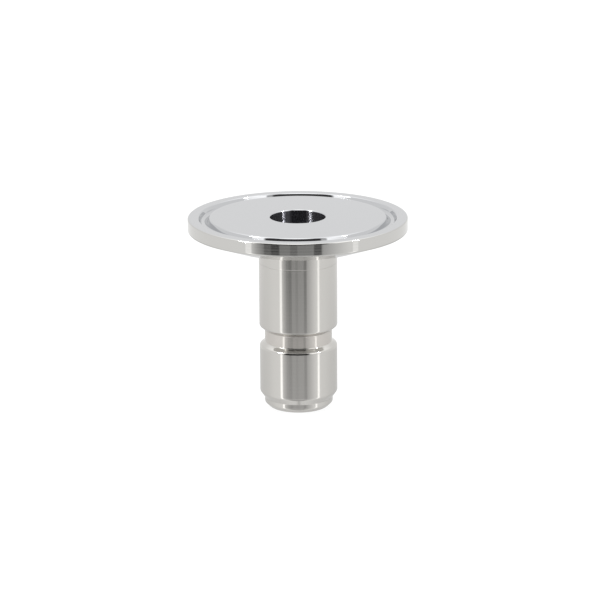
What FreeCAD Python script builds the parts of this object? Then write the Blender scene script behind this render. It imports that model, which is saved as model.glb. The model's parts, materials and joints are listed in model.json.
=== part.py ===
import FreeCAD, Part

import math
import os

# Quick disconnect fitting turned from one stainless steel bar: a sanitary clamp flange on top,
# a stem below it, and a male plug at the lower end with a groove for the locking balls.
# Millimetres. The Z axis runs up the bore, and the plug's tip stands on Z = 0.

# Whole fitting
OVERALL_LENGTH = 45.1
BORE_DIAMETER = 12.7
BORE_EDGE_BREAK = 0.1

# Clamp flange, measured down from its sealing face
FLANGE_DIAMETER = 50.5
FLANGE_THICKNESS = 5.95
RIM_THICKNESS = 2.95
REAR_TAPER_ANGLE = 20.0
FACE_EDGE_RADIUS = 0.3
RIM_BACK_RADIUS = 0.4
BACK_EDGE_RADIUS = 0.5

# Gasket groove in the sealing face
GASKET_GROOVE_DIAMETER = 43.0
GASKET_GROOVE_WIDTH = 2.5
GASKET_GROOVE_DEPTH = 1.5
GASKET_GROOVE_DRAFT = 21.0
GASKET_GROOVE_FLOOR_RADIUS = 0.9
GASKET_GROOVE_LIP_RADIUS = 0.35

# Stem and plug, measured up from the tip
STEM_DIAMETER = 18.1
STEM_ROOT_RADIUS = 1.0
PLUG_DIAMETER = 18.0
NOSE_DIAMETER = 15.85
NOSE_LENGTH = 2.15
NOSE_CHAMFER = 1.0
NOSE_FOOT_RADIUS = 0.3
NOSE_CORNER_RADIUS = 0.6
NOSE_ROOT_RADIUS = 0.2
LEAD_CONE_ANGLE = 35.5
LEAD_EDGE_RADIUS = 0.9

# Ball groove round the plug
BALL_GROOVE_START = 14.77
BALL_GROOVE_WIDTH = 4.7
BALL_GROOVE_LOWER_SIDE_ANGLE = 56.0
BALL_GROOVE_UPPER_SIDE_ANGLE = 52.0
NECK_DIAMETER = 15.6
NECK_CORNER_RADIUS = 0.3
GROOVE_LOWER_EDGE_RADIUS = 0.65
GROOVE_UPPER_EDGE_RADIUS = 0.55

# A rounding may take this share of the wall beside it
LARGEST_SHARE_OF_WALL = 0.48

# Radii that several features share
bore_radius = BORE_DIAMETER / 2
stem_radius = STEM_DIAMETER / 2
plug_radius = PLUG_DIAMETER / 2
nose_radius = NOSE_DIAMETER / 2
neck_radius = NECK_DIAMETER / 2
flange_radius = FLANGE_DIAMETER / 2


def tangent(degrees):
    return math.tan(math.radians(degrees))


def point(radius, height):
    return FreeCAD.Vector(radius, 0, height)


def plug_corners():
    """Corners of the plug from its tip up to the ball groove, as radius, height and rounding."""
    cone_end = NOSE_LENGTH + (plug_radius - nose_radius) / tangent(LEAD_CONE_ANGLE)
    return [
        (nose_radius - NOSE_CHAMFER, 0, NOSE_FOOT_RADIUS),
        (nose_radius, NOSE_CHAMFER, NOSE_CORNER_RADIUS),
        (nose_radius, NOSE_LENGTH, NOSE_ROOT_RADIUS),
        (plug_radius, cone_end, LEAD_EDGE_RADIUS),
    ]


def ball_groove_corners():
    """The groove that the socket's balls drop into: a neck between two sloping sides."""
    groove_end = BALL_GROOVE_START + BALL_GROOVE_WIDTH
    lower_side = (plug_radius - neck_radius) / tangent(BALL_GROOVE_LOWER_SIDE_ANGLE)
    upper_side = (stem_radius - neck_radius) / tangent(BALL_GROOVE_UPPER_SIDE_ANGLE)
    return [
        (plug_radius, BALL_GROOVE_START, GROOVE_LOWER_EDGE_RADIUS),
        (neck_radius, BALL_GROOVE_START + lower_side, NECK_CORNER_RADIUS),
        (neck_radius, groove_end - upper_side, NECK_CORNER_RADIUS),
        (stem_radius, groove_end, GROOVE_UPPER_EDGE_RADIUS),
    ]


def flange_corners():
    """Root of the stem, flat back, sloping clamp shoulder and rim of the flange."""
    back = OVERALL_LENGTH - FLANGE_THICKNESS
    rim_back = OVERALL_LENGTH - RIM_THICKNESS
    back_radius = flange_radius - (rim_back - back) / tangent(REAR_TAPER_ANGLE)
    return [
        (stem_radius, back, STEM_ROOT_RADIUS),
        (back_radius, back, BACK_EDGE_RADIUS),
        (flange_radius, rim_back, RIM_BACK_RADIUS),
        (flange_radius, OVERALL_LENGTH, FACE_EDGE_RADIUS),
    ]


def gasket_groove_corners():
    """The round-bottomed groove in the sealing face, from its outer lip to its inner lip."""
    middle = GASKET_GROOVE_DIAMETER / 2
    floor = OVERALL_LENGTH - GASKET_GROOVE_DEPTH
    half_mouth = GASKET_GROOVE_WIDTH / 2
    half_floor = half_mouth - GASKET_GROOVE_DEPTH * tangent(GASKET_GROOVE_DRAFT)
    return [
        (middle + half_mouth, OVERALL_LENGTH, GASKET_GROOVE_LIP_RADIUS),
        (middle + half_floor, floor, GASKET_GROOVE_FLOOR_RADIUS),
        (middle - half_floor, floor, GASKET_GROOVE_FLOOR_RADIUS),
        (middle - half_mouth, OVERALL_LENGTH, GASKET_GROOVE_LIP_RADIUS),
    ]


def bore_corners():
    """The through bore from the sealing face down to the tip, with a small chamfer at each end."""
    mouth_radius = bore_radius + BORE_EDGE_BREAK
    return [
        (mouth_radius, OVERALL_LENGTH, 0),
        (bore_radius, OVERALL_LENGTH - BORE_EDGE_BREAK, 0),
        (bore_radius, BORE_EDGE_BREAK, 0),
        (mouth_radius, 0, 0),
    ]


def rounded_corner(before, corner, after, rounding):
    """Ends and middle of the arc that rounds one corner, or the sharp corner by itself."""
    to_before = before - corner
    to_after = after - corner
    inside_angle = to_before.getAngle(to_after)
    if rounding == 0 or math.pi - inside_angle < 1e-6:
        return [corner]
    wall = min(to_before.Length, to_after.Length)
    setback = min(rounding / math.tan(inside_angle / 2), LARGEST_SHARE_OF_WALL * wall)
    radius = setback * math.tan(inside_angle / 2)
    to_before.normalize()
    to_after.normalize()
    toward_centre = (to_before + to_after).normalize()
    nearest = radius / math.sin(inside_angle / 2) - radius
    return [
        corner + to_before * setback,
        corner + toward_centre * nearest,
        corner + to_after * setback,
    ]


def rounded_outline(corners):
    """Closed outline through the corners, with straight sides joined by tangent arcs."""
    points = [point(radius, height) for radius, height, rounding in corners]
    count = len(corners)
    turns = []
    for index in range(count):
        before = points[index - 1]
        after = points[(index + 1) % count]
        turns.append(rounded_corner(before, points[index], after, corners[index][2]))
    edges = []
    for index in range(count):
        turn = turns[index]
        if len(turn) == 3:
            edges.append(Part.Arc(turn[0], turn[1], turn[2]).toShape())
        start = turn[-1]
        end = turns[(index + 1) % count][0]
        edges.append(Part.LineSegment(start, end).toShape())
    return Part.Wire(edges)


def fitting_body():
    """The whole fitting, turned about its bore."""
    corners = (
        plug_corners()
        + ball_groove_corners()
        + flange_corners()
        + gasket_groove_corners()
        + bore_corners()
    )
    section = Part.Face(rounded_outline(corners))
    return section.revolve(FreeCAD.Vector(0, 0, 0), FreeCAD.Vector(0, 0, 1), 360)


def main():
    os.makedirs("parts", exist_ok=True)
    body = fitting_body()
    body.exportStep("parts/fitting_body.step")
    print("fitting_body", body.ShapeType, "valid", body.isValid())
    print("volume", round(body.Volume, 1), "height", round(body.BoundBox.ZLength, 3))


main()
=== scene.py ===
# Quick disconnect fitting: a sanitary clamp flange and a male plug, turned in one piece.

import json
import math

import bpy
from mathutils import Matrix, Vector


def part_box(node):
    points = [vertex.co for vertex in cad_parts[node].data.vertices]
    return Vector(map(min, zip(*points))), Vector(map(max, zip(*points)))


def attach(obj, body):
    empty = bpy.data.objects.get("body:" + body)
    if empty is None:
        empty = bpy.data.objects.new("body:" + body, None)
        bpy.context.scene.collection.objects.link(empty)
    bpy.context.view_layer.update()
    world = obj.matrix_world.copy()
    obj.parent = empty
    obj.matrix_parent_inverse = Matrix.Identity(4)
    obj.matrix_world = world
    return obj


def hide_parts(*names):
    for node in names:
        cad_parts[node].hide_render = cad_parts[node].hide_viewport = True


bl_info = {
    "name": "Quick disconnect fitting",
    "version": (1, 0, 0),
    "blender": (4, 5, 0),
    "location": "View3D > Sidebar > Fitting",
    "description": "Builds a turned stainless steel fitting and a plain studio round it",
    "category": "Add Mesh",
}

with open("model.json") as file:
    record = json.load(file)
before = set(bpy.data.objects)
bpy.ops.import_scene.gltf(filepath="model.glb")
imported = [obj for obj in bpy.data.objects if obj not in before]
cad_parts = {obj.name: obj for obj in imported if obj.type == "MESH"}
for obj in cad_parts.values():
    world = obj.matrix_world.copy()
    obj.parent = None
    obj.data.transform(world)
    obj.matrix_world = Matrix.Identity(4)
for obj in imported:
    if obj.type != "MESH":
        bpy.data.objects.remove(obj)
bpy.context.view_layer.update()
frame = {"record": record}

MM = 0.001
NODE = "fitting_body"
BODY = "root"

MOUNTS = {mount["name"]: mount for mount in frame["record"]["mounts"]}
LOW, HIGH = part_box(NODE)

# The arcs of the outline are drawn in steps of this angle, and each one has a guard point close
# beside each end, so that the flats between them reflect as true flats
ARC_STEP = math.radians(7.5)
FEWEST_STEPS = 3
GUARD = 0.03 * MM

# Stored on the mesh: how far along the turned outline a point lies, in millimetres
ALONG = "along_outline_mm"

# How the tool's rings break up, and the soft patches, 11 mm across, where the roughness differs
RING_DETAIL = 4.0
RING_BREAKUP = 0.65
PATCHES_PER_METRE = 90.0
PATCH_DETAIL = 2.0
PATCH_BREAKUP = 0.5
PATCH_RANGE = (0.3, 0.7)
ROUGHNESS_CHANGE = 0.15

# Turns the reflections' spread from round the axis to along it
QUARTER_TURN = 0.25


def mount_radius(name):
    return MOUNTS[name]["dims"]["r_mm"] * MM


def srgb(code):
    """Linear colour of an sRGB hex code."""
    parts = [int(code[place:place + 2], 16) / 255 for place in (1, 3, 5)]
    linear = [p / 12.92 if p <= 0.04045 else ((p + 0.055) / 1.055) ** 2.4 for p in parts]
    return (*linear, 1.0)


def length_property(name, description, default):
    return bpy.props.FloatProperty(
        name=name, description=description, default=default, min=0, unit="LENGTH", precision=5
    )


def angle_property(name, description, degrees):
    return bpy.props.FloatProperty(
        name=name, description=description, default=math.radians(degrees), subtype="ANGLE"
    )


def colour_property(name, description, code):
    return bpy.props.FloatVectorProperty(
        name=name, description=description, default=srgb(code), size=4, min=0, max=1, subtype="COLOR"
    )


def share_property(name, description, default):
    return bpy.props.FloatProperty(
        name=name, description=description, default=default, min=0, max=1, subtype="FACTOR"
    )


class FittingSizes(bpy.types.PropertyGroup):
    """Sizes of the turned outline. The main ones come from the frame."""

    length: length_property("Length", "Tip to sealing face", HIGH.z - LOW.z)
    bore_radius: length_property("Bore radius", "Through bore", mount_radius("through_bore"))
    bore_break: length_property("Bore edge break", "Chamfer at the bore's lower end", 0.1 * MM)
    bore_mouth: length_property("Bore mouth radius", "Rounding of the bore's upper end", 0.3 * MM)
    plug_radius: length_property("Plug radius", "Plug below the groove", mount_radius("plug_land"))
    stem_radius: length_property("Stem radius", "Stem above the groove", mount_radius("stem"))
    flange_radius: length_property("Flange radius", "Outside of the rim", mount_radius("flange_rim"))
    flange_thickness: length_property("Flange thickness", "Sealing face to flat back", 5.95 * MM)
    rim_thickness: length_property("Rim thickness", "Sealing face to clamp shoulder", 2.95 * MM)
    rear_taper: angle_property("Clamp shoulder", "Slope of the back of the rim", 20.0)
    face_edge: length_property("Face edge radius", "Rounding round the sealing face", 0.3 * MM)
    rim_back_edge: length_property("Rim back radius", "Rounding behind the rim", 0.4 * MM)
    back_edge: length_property("Back edge radius", "Rounding inside the shoulder", 0.5 * MM)
    groove_radius: length_property("Gasket groove radius", "Middle of the groove", 21.5 * MM)
    groove_width: length_property("Gasket groove width", "Width at its mouth", 2.5 * MM)
    groove_depth: length_property("Gasket groove depth", "Depth below the face", 1.5 * MM)
    groove_draft: angle_property("Gasket groove draft", "Slope of its walls", 21.0)
    groove_floor: length_property("Gasket groove floor radius", "Rounding of its floor", 0.9 * MM)
    groove_lip: length_property("Gasket groove lip radius", "Rounding of its lips", 0.35 * MM)
    stem_root: length_property("Stem root radius", "Fillet under the flange", 1.0 * MM)
    nose_radius: length_property("Nose radius", "Short nose at the tip", 7.925 * MM)
    nose_length: length_property("Nose length", "Tip to lead cone", 2.15 * MM)
    nose_chamfer: length_property("Nose chamfer", "Chamfer at the tip", 1.0 * MM)
    nose_foot: length_property("Nose foot radius", "Rounding below the chamfer", 0.3 * MM)
    nose_corner: length_property("Nose corner radius", "Rounding above the chamfer", 0.6 * MM)
    nose_root: length_property("Nose root radius", "Fillet above the nose", 0.2 * MM)
    lead_cone: angle_property("Lead cone", "Slope of the cone from the axis", 35.5)
    lead_edge: length_property("Lead edge radius", "Rounding above the cone", 0.9 * MM)
    ball_start: length_property("Ball groove start", "Tip to the groove", 14.77 * MM)
    ball_width: length_property("Ball groove width", "Width at its mouth", 4.7 * MM)
    ball_lower_side: angle_property("Ball groove lower side", "Slope from the axis", 56.0)
    ball_upper_side: angle_property("Ball groove upper side", "Slope from the axis", 52.0)
    neck_radius: length_property("Neck radius", "Floor of the ball groove", 7.8 * MM)
    neck_corner: length_property("Neck corner radius", "Fillets of the neck", 0.3 * MM)
    lower_edge: length_property("Lower edge radius", "Rounding below the groove", 0.65 * MM)
    upper_edge: length_property("Upper edge radius", "Rounding above the groove", 0.55 * MM)
    tool_mark_drop: length_property("Tool mark drop", "Face down to the ring on the stem", 10.5 * MM)
    tool_mark_width: length_property("Tool mark width", "Width of the ring on the stem", 0.24 * MM)
    tool_mark_depth: length_property("Tool mark depth", "Depth of the ring on the stem", 0.008 * MM)
    segments: bpy.props.IntProperty(
        name="Segments", description="Steps round the axis", default=256, min=32
    )


class FittingFinish(bpy.types.PropertyGroup):
    """Colours and finishes of the steel."""

    face_colour: colour_property("Polished face", "Mirror-polished steel", "#CBCCCE")
    rim_colour: colour_property("Rim", "Finely turned steel", "#CDCCC9")
    stem_colour: colour_property("Stem", "Turned steel", "#CDCBC7")
    neck_colour: colour_property("Neck", "Steel as it was turned", "#CDC9C4")
    # Darker than the other steels: painted shade for the depth of the bore
    bore_painted_shade_colour: colour_property("Bore", "Reamed steel", "#828287")
    face_roughness: share_property("Face roughness", "Mirror polish", 0.05)
    rim_roughness: share_property("Rim roughness", "Fine turning", 0.05)
    stem_roughness: share_property("Stem roughness", "Turning", 0.125)
    neck_dullness: share_property("Neck dullness", "Share of the neck that is dull", 0.15)
    bore_roughness: share_property("Bore roughness", "Reaming", 0.1)
    bore_smear: share_property("Bore smear", "Share of sloping ring sides in the bore", 0.11)


class FittingStage(bpy.types.PropertyGroup):
    """Camera and surroundings."""

    camera_distance: length_property("Camera distance", "Camera to the fitting's axis", 594.6 * MM)
    camera_elevation: angle_property("Camera elevation", "Angle above the horizon", 15.9)
    camera_roll: angle_property("Camera roll", "Lean of the fitting in the frame", -0.36)
    aim_height: length_property("Aim height", "Point on the axis that it looks at", 24.79 * MM)
    aim_side: length_property("Aim side", "How far beside the axis it looks", 0.75 * MM)
    lens: bpy.props.FloatProperty(
        name="Lens", description="Focal length in mm on a 36 mm sensor", default=153.4, min=10
    )
    floor_size: length_property("Floor size", "Side of the floor", 8.0)
    spot_radius: length_property("Spot radius", "Table that the bore stands on", 6.4 * MM)
    floor_shadow: share_property("Floor shadow", "How much of the contact shadow shows", 0.16)


def add_node(tree, kind, inputs=None, **settings):
    """Adds a node, sets its settings, and fills or links its inputs by name or number."""
    node = tree.nodes.new(kind)
    for name, value in settings.items():
        setattr(node, name, value)
    for key, value in (inputs or {}).items():
        if isinstance(value, bpy.types.NodeSocket):
            tree.links.new(value, node.inputs[key])
        else:
            node.inputs[key].default_value = value
    return node


def plug_corners(sizes):
    """Corners of the plug from its tip up to the ball groove, as radius, height and rounding."""
    cone_length = (sizes.plug_radius - sizes.nose_radius) / math.tan(sizes.lead_cone)
    return [
        (sizes.nose_radius - sizes.nose_chamfer, 0, sizes.nose_foot),
        (sizes.nose_radius, sizes.nose_chamfer, sizes.nose_corner),
        (sizes.nose_radius, sizes.nose_length, sizes.nose_root),
        (sizes.plug_radius, sizes.nose_length + cone_length, sizes.lead_edge),
    ]


def ball_groove_corners(sizes):
    """A neck between two sloping sides, which the socket's balls drop into."""
    end = sizes.ball_start + sizes.ball_width
    lower_side = (sizes.plug_radius - sizes.neck_radius) / math.tan(sizes.ball_lower_side)
    upper_side = (sizes.stem_radius - sizes.neck_radius) / math.tan(sizes.ball_upper_side)
    return [
        (sizes.plug_radius, sizes.ball_start, sizes.lower_edge),
        (sizes.neck_radius, sizes.ball_start + lower_side, sizes.neck_corner),
        (sizes.neck_radius, end - upper_side, sizes.neck_corner),
        (sizes.stem_radius, end, sizes.upper_edge),
    ]


def tool_mark_corners(sizes):
    """The shallow ring that the tool left on the stem where it stopped."""
    middle = sizes.length - sizes.tool_mark_drop
    half = sizes.tool_mark_width / 2
    return [
        (sizes.stem_radius, middle - half, 0),
        (sizes.stem_radius - sizes.tool_mark_depth, middle - half, 0),
        (sizes.stem_radius, middle + half, 0),
    ]


def flange_corners(sizes):
    """Root of the stem, flat back, sloping clamp shoulder and rim."""
    back = sizes.length - sizes.flange_thickness
    rim_back = sizes.length - sizes.rim_thickness
    back_radius = sizes.flange_radius - (rim_back - back) / math.tan(sizes.rear_taper)
    return [
        (sizes.stem_radius, back, sizes.stem_root),
        (back_radius, back, sizes.back_edge),
        (sizes.flange_radius, rim_back, sizes.rim_back_edge),
        (sizes.flange_radius, sizes.length, sizes.face_edge),
    ]


def gasket_groove_corners(sizes):
    """The round-bottomed groove in the sealing face, from its outer lip to its inner lip."""
    floor = sizes.length - sizes.groove_depth
    half_mouth = sizes.groove_width / 2
    half_floor = half_mouth - sizes.groove_depth * math.tan(sizes.groove_draft)
    return [
        (sizes.groove_radius + half_mouth, sizes.length, sizes.groove_lip),
        (sizes.groove_radius + half_floor, floor, sizes.groove_floor),
        (sizes.groove_radius - half_floor, floor, sizes.groove_floor),
        (sizes.groove_radius - half_mouth, sizes.length, sizes.groove_lip),
    ]


def bore_corners(sizes):
    """The through bore, with a rounded mouth and a chamfer at its lower end."""
    soft = sizes.bore_break / 5
    return [
        (sizes.bore_radius, sizes.length, sizes.bore_mouth),
        (sizes.bore_radius, sizes.bore_break, soft),
        (sizes.bore_radius + sizes.bore_break, 0, soft),
    ]


def beside(corner, neighbour):
    """The guard point of a sharp corner, on the way to its neighbour."""
    way = neighbour - corner
    return corner + way * min(GUARD / way.length, 1 / 3)


def rounded_corner(before, corner, after, rounding):
    """Points of the arc that rounds one corner, with a guard point beside each end."""
    if rounding == 0:
        return [beside(corner, before), corner, beside(corner, after)]
    to_before = (before - corner).normalized()
    to_after = (after - corner).normalized()
    inside_angle = to_before.angle(to_after)
    turn = math.pi - inside_angle
    setback = rounding / math.tan(inside_angle / 2)
    toward_centre = (to_before + to_after).normalized()
    centre = corner + toward_centre * (rounding / math.sin(inside_angle / 2))
    start = corner + to_before * setback
    spoke = start - centre
    turning_left = to_before.cross(to_after).z < 0
    steps = max(FEWEST_STEPS, math.ceil(turn / ARC_STEP))
    arc = []
    for step in range(steps + 1):
        angle = turn * step / steps * (1 if turning_left else -1)
        arc.append(centre + Matrix.Rotation(angle, 3, "Z") @ spoke)
    guard_before = start + to_before * GUARD
    guard_after = corner + to_after * (setback + GUARD)
    return [guard_before, *arc, guard_after]


def outline_points(sizes):
    """The closed outline as points, with radius along X and height along Y."""
    corners = (
        plug_corners(sizes)
        + ball_groove_corners(sizes)
        + tool_mark_corners(sizes)
        + flange_corners(sizes)
        + gasket_groove_corners(sizes)
        + bore_corners(sizes)
    )
    places = [Vector((radius, height, 0)) for radius, height, rounding in corners]
    points = []
    for index, (radius, height, rounding) in enumerate(corners):
        after = places[(index + 1) % len(places)]
        points += rounded_corner(places[index - 1], places[index], after, rounding)
    return points


def polished_face_steel(finish):
    """Mirror-polished 304 stainless steel: clear reflections with a trace of the polishing wheel."""
    return steel_material(
        "mirror_polished_steel", finish.face_colour, finish.face_roughness,
        spread=0.0, mark_pitch_mm=0.6, mark_height_mm=0.0001,
    )


def turned_rim_steel(finish):
    """Finely turned 304 stainless steel: reflections drawn out a little across the tool's path."""
    return steel_material(
        "fine_turned_steel", finish.rim_colour, finish.rim_roughness,
        spread=0.6, mark_pitch_mm=0.35, mark_height_mm=0.0012,
    )


def turned_stem_steel(finish):
    """Turned 304 stainless steel: reflections drawn out along the stem by the tool's fine rings."""
    return steel_material(
        "turned_steel", finish.stem_colour, finish.stem_roughness,
        spread=0.85, mark_pitch_mm=0.5, mark_height_mm=0.0016,
    )


def turned_neck_steel(finish):
    """The neck as it was turned: the polishing wheel doesn't reach it, so it is duller."""
    return steel_material(
        "unpolished_turned_steel", finish.neck_colour, finish.stem_roughness,
        spread=0.85, mark_pitch_mm=0.5, mark_height_mm=0.0016,
        dull_share=finish.neck_dullness, dull_roughness=0.7, dull_spread=0.0,
    )


def reamed_bore_steel_with_painted_shade(finish):
    """Reamed bore: dark, because it mostly mirrors itself. Its colour is also darker than the rest of the
    steel, as painted shade for the depth of the bore. The reamer's rings have sides that tip up towards the
    lamps, so the lamps are drawn out into long bright lines down the bore."""
    return steel_material(
        "reamed_steel_with_painted_shade", finish.bore_painted_shade_colour, finish.bore_roughness,
        spread=0.8, mark_pitch_mm=0.4, mark_height_mm=0.0004,
        dull_share=finish.bore_smear, dull_roughness=0.18, dull_spread=0.45, dull_lean=30.0,
    )


def steel_material(
    name, colour, roughness, spread, mark_pitch_mm, mark_height_mm,
    dull_share=0.0, dull_roughness=0.0, dull_spread=0.0, dull_lean=0.0,
):
    """Bare steel with rings left by the tool. The real rings are finer than the render shows, so
    they are drawn at the pitch given, which is as coarse as they need to be seen. The dull share
    is the part of the surface with its own roughness and spread. Its lean is how many degrees it
    tips back along the outline, as the sides of deep rings do."""
    material = bpy.data.materials.new(name)
    material.use_nodes = True
    tree = material.node_tree
    tree.nodes.clear()
    along = add_node(tree, "ShaderNodeAttribute", attribute_name=ALONG)
    rings = add_node(
        tree, "ShaderNodeTexNoise",
        {"W": along.outputs["Fac"], "Scale": 1 / mark_pitch_mm, "Detail": RING_DETAIL,
         "Roughness": RING_BREAKUP},
        noise_dimensions="1D",
    )
    place = add_node(tree, "ShaderNodeTexCoord")
    patches = add_node(
        tree, "ShaderNodeTexNoise",
        {"Vector": place.outputs["Object"], "Scale": PATCHES_PER_METRE, "Detail": PATCH_DETAIL,
         "Roughness": PATCH_BREAKUP},
    )
    rough = add_node(
        tree, "ShaderNodeMapRange",
        {"Value": patches.outputs["Fac"], "From Min": PATCH_RANGE[0], "From Max": PATCH_RANGE[1],
         "To Min": roughness * (1 - ROUGHNESS_CHANGE), "To Max": roughness * (1 + ROUGHNESS_CHANGE)},
    )
    bump = add_node(
        tree, "ShaderNodeBump",
        {"Strength": 1.0, "Distance": mark_height_mm * MM, "Height": rings.outputs["Fac"]},
    )
    tangent = add_node(tree, "ShaderNodeTangent", direction_type="RADIAL", axis="Z")
    shader = add_node(
        tree, "ShaderNodeBsdfPrincipled",
        {"Base Color": colour, "Metallic": 1.0, "Roughness": rough.outputs["Result"],
         "Anisotropic": spread, "Anisotropic Rotation": QUARTER_TURN,
         "Tangent": tangent.outputs["Tangent"], "Normal": bump.outputs["Normal"]},
    )
    surface = shader.outputs["BSDF"]
    if dull_share:
        # A height that grows by this much for each millimetre of outline tips the surface evenly
        ring_sides = add_node(
            tree, "ShaderNodeBump",
            {"Strength": 1.0, "Distance": math.tan(math.radians(dull_lean)) * MM,
             "Height": along.outputs["Fac"]},
        )
        dull = add_node(
            tree, "ShaderNodeBsdfAnisotropic",
            {"Color": colour, "Roughness": dull_roughness, "Anisotropy": dull_spread,
             "Tangent": tangent.outputs["Tangent"], "Normal": ring_sides.outputs["Normal"]},
        )
        mixture = add_node(
            tree, "ShaderNodeMixShader", {"Fac": dull_share, 1: surface, 2: dull.outputs["BSDF"]}
        )
        surface = mixture.outputs["Shader"]
    add_node(tree, "ShaderNodeOutputMaterial", {"Surface": surface})
    return material


def lathe_tree():
    """Turns an outline about the vertical axis and gives each surface its finish. Each finish in
    turn covers what the ones before it left there."""
    tree = bpy.data.node_groups.new("Turned body", "GeometryNodeTree")
    socket = tree.interface.new_socket
    socket("Outline", in_out="INPUT", socket_type="NodeSocketGeometry")
    socket("Segments", in_out="INPUT", socket_type="NodeSocketInt")
    for name in (
        "Path radius", "Bore radius", "Face height", "Groove depth", "Face radius", "Back height",
        "Neck radius", "Neck height",
    ):
        socket(name, in_out="INPUT", socket_type="NodeSocketFloat")
    for name in ("Stem finish", "Neck finish", "Rim finish", "Face finish", "Bore finish"):
        socket(name, in_out="INPUT", socket_type="NodeSocketMaterial")
    socket("Body", in_out="OUTPUT", socket_type="NodeSocketGeometry")

    given = add_node(tree, "NodeGroupInput").outputs
    outline = add_node(tree, "GeometryNodeMeshToCurve", {"Mesh": given["Outline"]})
    distance = add_node(tree, "GeometryNodeSplineParameter")
    in_mm = add_node(
        tree, "ShaderNodeMath", {0: distance.outputs["Length"], 1: 1 / MM}, operation="MULTIPLY"
    )
    marked = add_node(
        tree, "GeometryNodeStoreNamedAttribute",
        {"Geometry": outline.outputs["Curve"], "Name": ALONG, "Value": in_mm.outputs[0]},
        data_type="FLOAT", domain="POINT",
    )
    path = add_node(
        tree, "GeometryNodeCurvePrimitiveCircle",
        {"Resolution": given["Segments"], "Radius": given["Path radius"]},
    )
    turned = add_node(
        tree, "GeometryNodeCurveToMesh",
        {"Curve": path.outputs["Curve"], "Profile Curve": marked.outputs["Geometry"]},
    )
    outward = add_node(tree, "GeometryNodeFlipFaces", {"Mesh": turned.outputs["Mesh"]})
    smooth = add_node(tree, "GeometryNodeSetShadeSmooth", {"Geometry": outward.outputs["Mesh"]})
    whole = add_node(tree, "GeometryNodeRealizeInstances", {"Geometry": smooth.outputs["Geometry"]})

    position = add_node(tree, "GeometryNodeInputPosition")
    parts = add_node(tree, "ShaderNodeSeparateXYZ", {"Vector": position.outputs["Position"]})
    flat = add_node(tree, "ShaderNodeCombineXYZ", {"X": parts.outputs["X"], "Y": parts.outputs["Y"]})
    from_axis = add_node(tree, "ShaderNodeVectorMath", {0: flat.outputs[0]}, operation="LENGTH")
    radius = from_axis.outputs["Value"]
    height = parts.outputs["Z"]
    groove_floor = add_node(
        tree, "ShaderNodeMath", {0: given["Face height"], 1: given["Groove depth"]}, operation="SUBTRACT"
    )
    comparisons = (
        ("above groove floor", height, "GREATER_THAN", groove_floor.outputs[0]),
        ("inside rim", radius, "LESS_THAN", given["Face radius"]),
        ("above plug", height, "GREATER_THAN", given["Neck height"]),
        ("narrow", radius, "LESS_THAN", given["Neck radius"]),
        ("on rim", height, "GREATER_THAN", given["Back height"]),
        ("in bore", radius, "LESS_THAN", given["Bore radius"]),
    )
    where = {}
    for name, value, operation, limit in comparisons:
        compared = add_node(tree, "FunctionNodeCompare", {0: value, 1: limit}, operation=operation)
        where[name] = compared.outputs[0]
    for name, first, second in (
        ("on face", "above groove floor", "inside rim"),
        ("on neck", "above plug", "narrow"),
    ):
        both = add_node(
            tree, "FunctionNodeBooleanMath", {0: where[first], 1: where[second]}, operation="AND"
        )
        where[name] = both.outputs[0]

    geometry = whole.outputs["Geometry"]
    for finish, place in (
        ("Stem finish", None),
        ("Neck finish", "on neck"),
        ("Rim finish", "on rim"),
        ("Face finish", "on face"),
        ("Bore finish", "in bore"),
    ):
        inputs = {"Geometry": geometry, "Material": given[finish]}
        if place:
            inputs["Selection"] = where[place]
        geometry = add_node(tree, "GeometryNodeSetMaterial", inputs).outputs["Geometry"]
    add_node(tree, "NodeGroupOutput", {"Body": geometry})
    return tree


def set_input(modifier, name, value):
    """Sets a modifier's input by its socket's identifier."""
    for item in modifier.node_group.interface.items_tree:
        if item.name == name and item.in_out == "INPUT":
            modifier[item.identifier] = value
            return
    raise KeyError(name)


def converted(piece):
    """Gives the piece the plain mesh that its modifiers make, and removes them."""
    bpy.context.view_layer.update()
    depsgraph = bpy.context.evaluated_depsgraph_get()
    mesh = bpy.data.meshes.new_from_object(piece.evaluated_get(depsgraph), depsgraph=depsgraph)
    piece.modifiers.clear()
    outline = piece.data
    piece.data = mesh
    bpy.data.meshes.remove(outline)
    mesh.name = piece.name
    return piece


def turned_body(sizes, finish):
    """The whole fitting, turned from its outline."""
    points = outline_points(sizes)
    # The sweep takes the outline's X outward from the path and its Y downward
    placed = [(point.x - sizes.plug_radius, -point.y, 0) for point in points]
    edges = [(index, (index + 1) % len(placed)) for index in range(len(placed))]
    mesh = bpy.data.meshes.new("outline")
    mesh.from_pydata(placed, edges, [])
    body = bpy.data.objects.new("turned_fitting", mesh)
    bpy.context.scene.collection.objects.link(body)

    lathe = body.modifiers.new("Turned body", "NODES")
    lathe.node_group = lathe_tree()
    hair = 0.02 * MM
    values = {
        "Segments": sizes.segments,
        "Path radius": sizes.plug_radius,
        "Bore radius": sizes.bore_radius + hair,
        "Face height": sizes.length,
        "Groove depth": sizes.groove_depth + hair,
        "Face radius": sizes.flange_radius - sizes.face_edge / 2,
        "Back height": sizes.length - sizes.flange_thickness - hair,
        "Neck radius": sizes.neck_radius + hair,
        "Neck height": sizes.ball_start,
        "Stem finish": turned_stem_steel(finish),
        "Neck finish": turned_neck_steel(finish),
        "Rim finish": turned_rim_steel(finish),
        "Face finish": polished_face_steel(finish),
        "Bore finish": reamed_bore_steel_with_painted_shade(finish),
    }
    for name, value in values.items():
        set_input(lathe, name, value)
    return converted(body)


# The studio's light as the steel sees it, in shares of white. Angles are in degrees: azimuth is 0
# on the camera's side and grows to the right, and elevation is 0 at the horizon. Rows of pairs give
# the brightness at each angle.
ELEVATIONS = (-90, 90)
FRONT_AZIMUTHS = (-90, 90)
ALL_AZIMUTHS = (-180, 180)

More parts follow.
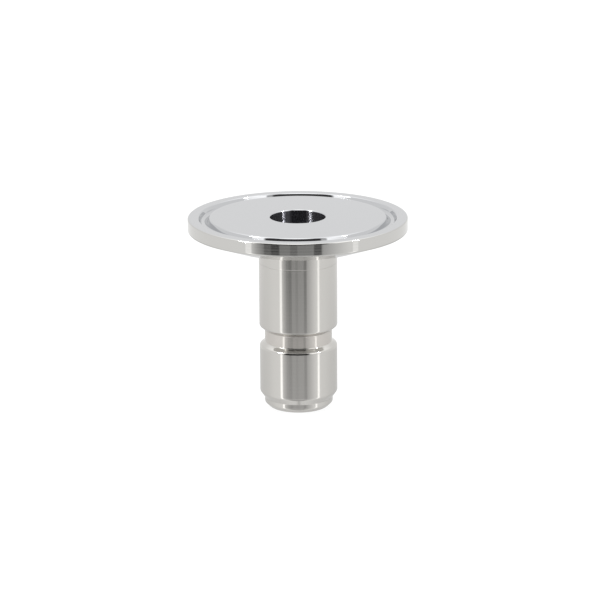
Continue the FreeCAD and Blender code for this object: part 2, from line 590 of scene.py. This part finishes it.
# The light walls, by elevation, and the azimuths between which they open on a dim room
SIDES_AND_BACK = (
    (-90, 1.05), (-60, 0.85), (-22, 0.80), (-18, 0.84), (-15, 0.97), (0, 0.92), (20, 0.92),
    (30, 0.96), (60, 1.5), (80, 1.5), (90, 1.3),
)
OPENING = (-57, 64)
OPENING_SOFTNESS = 6.0

# The room on the camera's side, dark between these azimuths, with its ceiling light overhead
DIM_ROOM = 0.6
DARK_ROOM = (-43.5, 31)
DARK_ROOM_SOFTNESS = 3.0
ROOM_IN_FRONT = (
    (-90, 0.6), (-6, 0.08), (0, 0.03), (16, 0.03), (38, 0.07), (55, 0.13), (63, 2.4), (76, 2.4),
    (90, 1.4),
)

# The far part of the table, by azimuth, with dark things on it: left, right and brightness. Its
# heights reach past straight down, so that it doesn't fade there.
TABLE_HEIGHTS = (-180, -8)
TABLE_SOFTNESS = 6.0
TABLE_IN_FRONT = (
    (-60, 1.0), (-49, 0.8), (-43, 0.48), (-35, 0.22), (-20, 0.22), (16, 0.26), (24, 0.27),
    (26.5, 0.48), (42, 0.75), (55, 0.95), (70, 0.95),
)
DARK_BARS = ((-35, -28, 0.12), (-28, -19, 0.03), (-8, -0.5, 0.15), (16.5, 24.5, 0.07))
BAR_SOFTNESS = 1.5

# The part of the table near the fitting, by azimuth, and its share of what shows, by elevation. Its lower
# values are painted shade: they stand in for the fitting's own shadow on the table round its foot, since
# the steel sees the studio's light in place of the table.
NEARER_TABLE = (
    (-150, 0.70), (-120, 0.78), (-100, 0.85), (-80, 0.98), (-60, 1.03), (-50, 0.95), (-40, 0.82),
    (-28, 0.72), (14, 0.72), (30, 0.68), (40, 0.78), (50, 0.93), (62, 1.0), (85, 0.92),
    (110, 0.78), (150, 0.66),
)
SHARE_OF_NEARER_TABLE = (
    (-50, 0.6), (-24, 0.92), (-20, 0.85), (-17.5, 0.68), (-16, 0.52), (-15.3, 0.4), (-14.9, 0.0),
)

# Two soft boxes, which leave the white flecks in the gasket groove: left and right edges
SOFT_BOXES = ((-61, -45.5), (39, 68))
SOFT_BOX_HEIGHTS = (-2, 50)
SOFT_BOX_SOFTNESS = (3.0, 6.0)
SOFT_BOX_BRIGHTNESS = ((-10, 0.95), (19, 1.0), (27, 1.7), (60, 1.7))

# Two tall strip lights, which draw the white lines down the stem: middle and half width
STRIP_LIGHTS = ((-52.5, 3.5), (62.2, 3.2))
STRIP_HEIGHTS = (-40, 0)
STRIP_SOFTNESS = (1.0, 6.0)
STRIP_BRIGHTNESS = (
    (-20, 1.9), (-18, 1.85), (-16, 1.55), (-14.5, 1.08), (0, 1.6), (15, 3.0), (50, 3.0),
)

# Small lamps, which draw the lines down the bore: middle, half width and brightness
LAMPS = ((69.5, 1.9, 66.0), (-59.0, 2.9, 62.0), (-66.5, 3.5, 15.0))
LAMP_HEIGHTS = (29, 40)
LAMP_SOFTNESS = (1.0, 3.0)

# The table's own glow is a little over white, because the shadow's share of it is under
TABLE_COLOUR = "#F4F4F4"
TABLE_GLOW = 1.06

SENSOR_WIDTH_MM = 36.0
CAMERA_SEES = (0.05, 50.0)


def ramp(tree, source, stops, low, high):
    """Brightness that follows the stops as the source runs from low to high."""
    share = add_node(
        tree, "ShaderNodeMapRange",
        {"Value": source, "From Min": low, "From Max": high, "To Min": 0.0, "To Max": 1.0},
    )
    node = add_node(tree, "ShaderNodeValToRGB", {"Fac": share.outputs["Result"]})
    elements = node.color_ramp.elements
    while len(elements) < len(stops):
        elements.new(1.0)
    for element, (place, brightness) in zip(elements, stops):
        element.position = (place - low) / (high - low)
        element.color = (brightness, brightness, brightness, 1)
    return node.outputs["Color"]


def band(tree, source, low, high, softness):
    """1 between low and high, fading to 0 over the softness on each side."""
    rise = add_node(
        tree, "ShaderNodeMapRange",
        {"Value": source, "From Min": low - softness / 2, "From Max": low + softness / 2},
        interpolation_type="SMOOTHSTEP",
    )
    fall = add_node(
        tree, "ShaderNodeMapRange",
        {"Value": source, "From Min": high + softness / 2, "From Max": high - softness / 2},
        interpolation_type="SMOOTHSTEP",
    )
    return add_node(
        tree, "ShaderNodeMath", {0: rise.outputs["Result"], 1: fall.outputs["Result"]}, operation="MULTIPLY"
    ).outputs[0]


def patch(tree, azimuth, elevation, sides, heights, softness):
    """1 inside a patch of the surroundings, fading to 0 at its sides and at its ends."""
    side_softness, end_softness = softness
    wide = band(tree, azimuth, *sides, side_softness)
    tall = band(tree, elevation, *heights, end_softness)
    return add_node(tree, "ShaderNodeMath", {0: wide, 1: tall}, operation="MULTIPLY").outputs[0]


def grey(brightness):
    return (brightness, brightness, brightness, 1)


def layered(tree, light, *layers):
    """The light with each layer laid over it, as far as the layer's share goes. The colour sockets
    of the mixture are its inputs 6 and 7 and its output 2."""
    for share, layer in layers:
        mixture = add_node(
            tree, "ShaderNodeMix", {"Factor": share, 6: light, 7: layer}, data_type="RGBA"
        )
        light = mixture.outputs[2]
    return light


def studio_world():
    """Light walls that open on a dim room on the camera's side, a table below, and soft boxes,
    strip lights and lamps. The camera itself sees plain white."""
    world = bpy.data.worlds.new("studio")
    world.use_nodes = True
    tree = world.node_tree
    tree.nodes.clear()
    direction = add_node(tree, "ShaderNodeTexCoord").outputs["Generated"]
    parts = add_node(tree, "ShaderNodeSeparateXYZ", {"Vector": direction}).outputs
    toward_camera = add_node(tree, "ShaderNodeMath", {0: parts["Y"], 1: -1.0}, operation="MULTIPLY")
    turn = add_node(
        tree, "ShaderNodeMath", {0: parts["X"], 1: toward_camera.outputs[0]}, operation="ARCTAN2"
    )
    azimuth = add_node(tree, "ShaderNodeMath", {0: turn.outputs[0]}, operation="DEGREES").outputs[0]
    rise = add_node(tree, "ShaderNodeMath", {0: parts["Z"]}, operation="ARCSINE")
    elevation = add_node(tree, "ShaderNodeMath", {0: rise.outputs[0]}, operation="DEGREES").outputs[0]

    nearer_table = (
        ramp(tree, elevation, SHARE_OF_NEARER_TABLE, *ELEVATIONS),
        ramp(tree, azimuth, NEARER_TABLE, *ALL_AZIMUTHS),
    )
    bars = [
        (band(tree, azimuth, left, right, BAR_SOFTNESS), grey(brightness))
        for left, right, brightness in DARK_BARS
    ]
    table = layered(tree, ramp(tree, azimuth, TABLE_IN_FRONT, *FRONT_AZIMUTHS), *bars, nearer_table)
    room = layered(
        tree, grey(DIM_ROOM),
        (band(tree, azimuth, *DARK_ROOM, DARK_ROOM_SOFTNESS),
         ramp(tree, elevation, ROOM_IN_FRONT, *ELEVATIONS)),
        (band(tree, elevation, *TABLE_HEIGHTS, TABLE_SOFTNESS), table),
    )
    walls = layered(tree, ramp(tree, elevation, SIDES_AND_BACK, *ELEVATIONS), nearer_table)
    light = layered(tree, walls, (band(tree, azimuth, *OPENING, OPENING_SOFTNESS), room))

    soft_light = ramp(tree, elevation, SOFT_BOX_BRIGHTNESS, *ELEVATIONS)
    for sides in SOFT_BOXES:
        inside = patch(tree, azimuth, elevation, sides, SOFT_BOX_HEIGHTS, SOFT_BOX_SOFTNESS)
        light = layered(tree, light, (inside, soft_light))
    strip_light = ramp(tree, elevation, STRIP_BRIGHTNESS, *ELEVATIONS)
    for middle, half_width in STRIP_LIGHTS:
        sides = (middle - half_width, middle + half_width)
        inside = patch(tree, azimuth, elevation, sides, STRIP_HEIGHTS, STRIP_SOFTNESS)
        light = layered(tree, light, (inside, strip_light))
    for middle, half_width, brightness in LAMPS:
        sides = (middle - half_width, middle + half_width)
        inside = patch(tree, azimuth, elevation, sides, LAMP_HEIGHTS, LAMP_SOFTNESS)
        light = layered(tree, light, (inside, grey(brightness)))

    seen = add_node(tree, "ShaderNodeLightPath").outputs["Is Camera Ray"]
    colour = layered(tree, light, (seen, grey(1.0)))
    background = add_node(tree, "ShaderNodeBackground", {"Color": colour, "Strength": 1.0})
    add_node(tree, "ShaderNodeOutputWorld", {"Surface": background.outputs["Background"]})
    bpy.context.scene.world = world


def floor_material(stage):
    """White table: white to the camera, less a share of the fitting's own soft shadow. The steel
    sees the studio's light in its place, except that the bore sees the spot that it stands on.
    From below the table is clear."""
    material = bpy.data.materials.new("white_table")
    material.use_nodes = True
    tree = material.node_tree
    tree.nodes.clear()
    matt = add_node(tree, "ShaderNodeBsdfDiffuse", {"Color": srgb(TABLE_COLOUR)}).outputs["BSDF"]
    glow = add_node(tree, "ShaderNodeEmission", {"Color": grey(1.0), "Strength": TABLE_GLOW})
    clear = add_node(tree, "ShaderNodeBsdfTransparent").outputs["BSDF"]
    shown = add_node(
        tree, "ShaderNodeMixShader",
        {"Fac": stage.floor_shadow, 1: glow.outputs["Emission"], 2: matt},
    )
    place = add_node(tree, "ShaderNodeTexCoord").outputs["Object"]
    reach = add_node(tree, "ShaderNodeVectorMath", {0: place}, operation="LENGTH")
    spot = add_node(
        tree, "ShaderNodeMath", {0: reach.outputs["Value"], 1: stage.spot_radius}, operation="LESS_THAN"
    )
    to_steel = add_node(tree, "ShaderNodeMixShader", {"Fac": spot.outputs[0], 1: clear, 2: matt})
    by_steel = add_node(tree, "ShaderNodeLightPath").outputs["Is Glossy Ray"]
    above = add_node(
        tree, "ShaderNodeMixShader",
        {"Fac": by_steel, 1: shown.outputs["Shader"], 2: to_steel.outputs["Shader"]},
    )
    below = add_node(tree, "ShaderNodeNewGeometry").outputs["Backfacing"]
    surface = add_node(
        tree, "ShaderNodeMixShader", {"Fac": below, 1: above.outputs["Shader"], 2: clear}
    )
    add_node(tree, "ShaderNodeOutputMaterial", {"Surface": surface.outputs["Shader"]})
    return material


def studio_floor(stage):
    """The table that the fitting stands on."""
    half = stage.floor_size / 2
    corners = [(-half, -half, 0), (half, -half, 0), (half, half, 0), (-half, half, 0)]
    mesh = bpy.data.meshes.new("table")
    mesh.from_pydata(corners, [], [(0, 1, 2, 3)])
    floor = bpy.data.objects.new("table", mesh)
    mesh.materials.append(floor_material(stage))
    bpy.context.scene.collection.objects.link(floor)


def studio_camera(stage):
    """Camera at the photograph's angle, distance and lens."""
    data = bpy.data.cameras.new("camera")
    data.sensor_width = SENSOR_WIDTH_MM
    data.lens = stage.lens
    data.clip_start, data.clip_end = CAMERA_SEES
    camera = bpy.data.objects.new("camera", data)
    bpy.context.scene.collection.objects.link(camera)
    aim = Vector((stage.aim_side, 0, stage.aim_height))
    back = Vector((0, -math.cos(stage.camera_elevation), math.sin(stage.camera_elevation)))
    camera.location = aim + back * stage.camera_distance
    level = (-back).to_track_quat("-Z", "Y").to_matrix()
    roll = Matrix.Rotation(stage.camera_roll, 3, "Z")
    camera.rotation_euler = (level @ roll).to_euler()
    bpy.context.scene.camera = camera


class FITTING_OT_turned_body(bpy.types.Operator):
    """Turn the fitting from its outline and finish its steel"""

    bl_idname = "fitting.turned_body"
    bl_label = "Turned body"

    def execute(self, context):
        body = turned_body(context.scene.fitting_sizes, context.scene.fitting_finish)
        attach(body, BODY)
        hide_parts(NODE)
        return {"FINISHED"}


class FITTING_OT_stage(bpy.types.Operator):
    """Set the table, the studio's light and the camera"""

    bl_idname = "fitting.stage"
    bl_label = "Stage"

    def execute(self, context):
        stage = context.scene.fitting_stage
        studio_floor(stage)
        studio_world()
        studio_camera(stage)
        context.scene.view_settings.view_transform = "Standard"
        return {"FINISHED"}


class FITTING_PT_panel(bpy.types.Panel):
    """Buttons for the fitting and its stage"""

    bl_label = "Quick disconnect fitting"
    bl_idname = "FITTING_PT_panel"
    bl_space_type = "VIEW_3D"
    bl_region_type = "UI"
    bl_category = "Fitting"

    def draw(self, context):
        layout = self.layout
        layout.operator(FITTING_OT_turned_body.bl_idname)
        layout.operator(FITTING_OT_stage.bl_idname)
        scene = context.scene
        for group in (scene.fitting_sizes, scene.fitting_finish, scene.fitting_stage):
            column = layout.column()
            for name in group.__annotations__:
                column.prop(group, name)


CLASSES = (
    FittingSizes,
    FittingFinish,
    FittingStage,
    FITTING_OT_turned_body,
    FITTING_OT_stage,
    FITTING_PT_panel,
)


def register():
    for item in CLASSES:
        bpy.utils.register_class(item)
    bpy.types.Scene.fitting_sizes = bpy.props.PointerProperty(type=FittingSizes)
    bpy.types.Scene.fitting_finish = bpy.props.PointerProperty(type=FittingFinish)
    bpy.types.Scene.fitting_stage = bpy.props.PointerProperty(type=FittingStage)


def unregister():
    del bpy.types.Scene.fitting_stage
    del bpy.types.Scene.fitting_finish
    del bpy.types.Scene.fitting_sizes
    for item in reversed(CLASSES):
        bpy.utils.unregister_class(item)


def main():
    register()
    bpy.ops.fitting.turned_body()
    bpy.ops.fitting.stage()


if __name__ == "__main__":
    main()
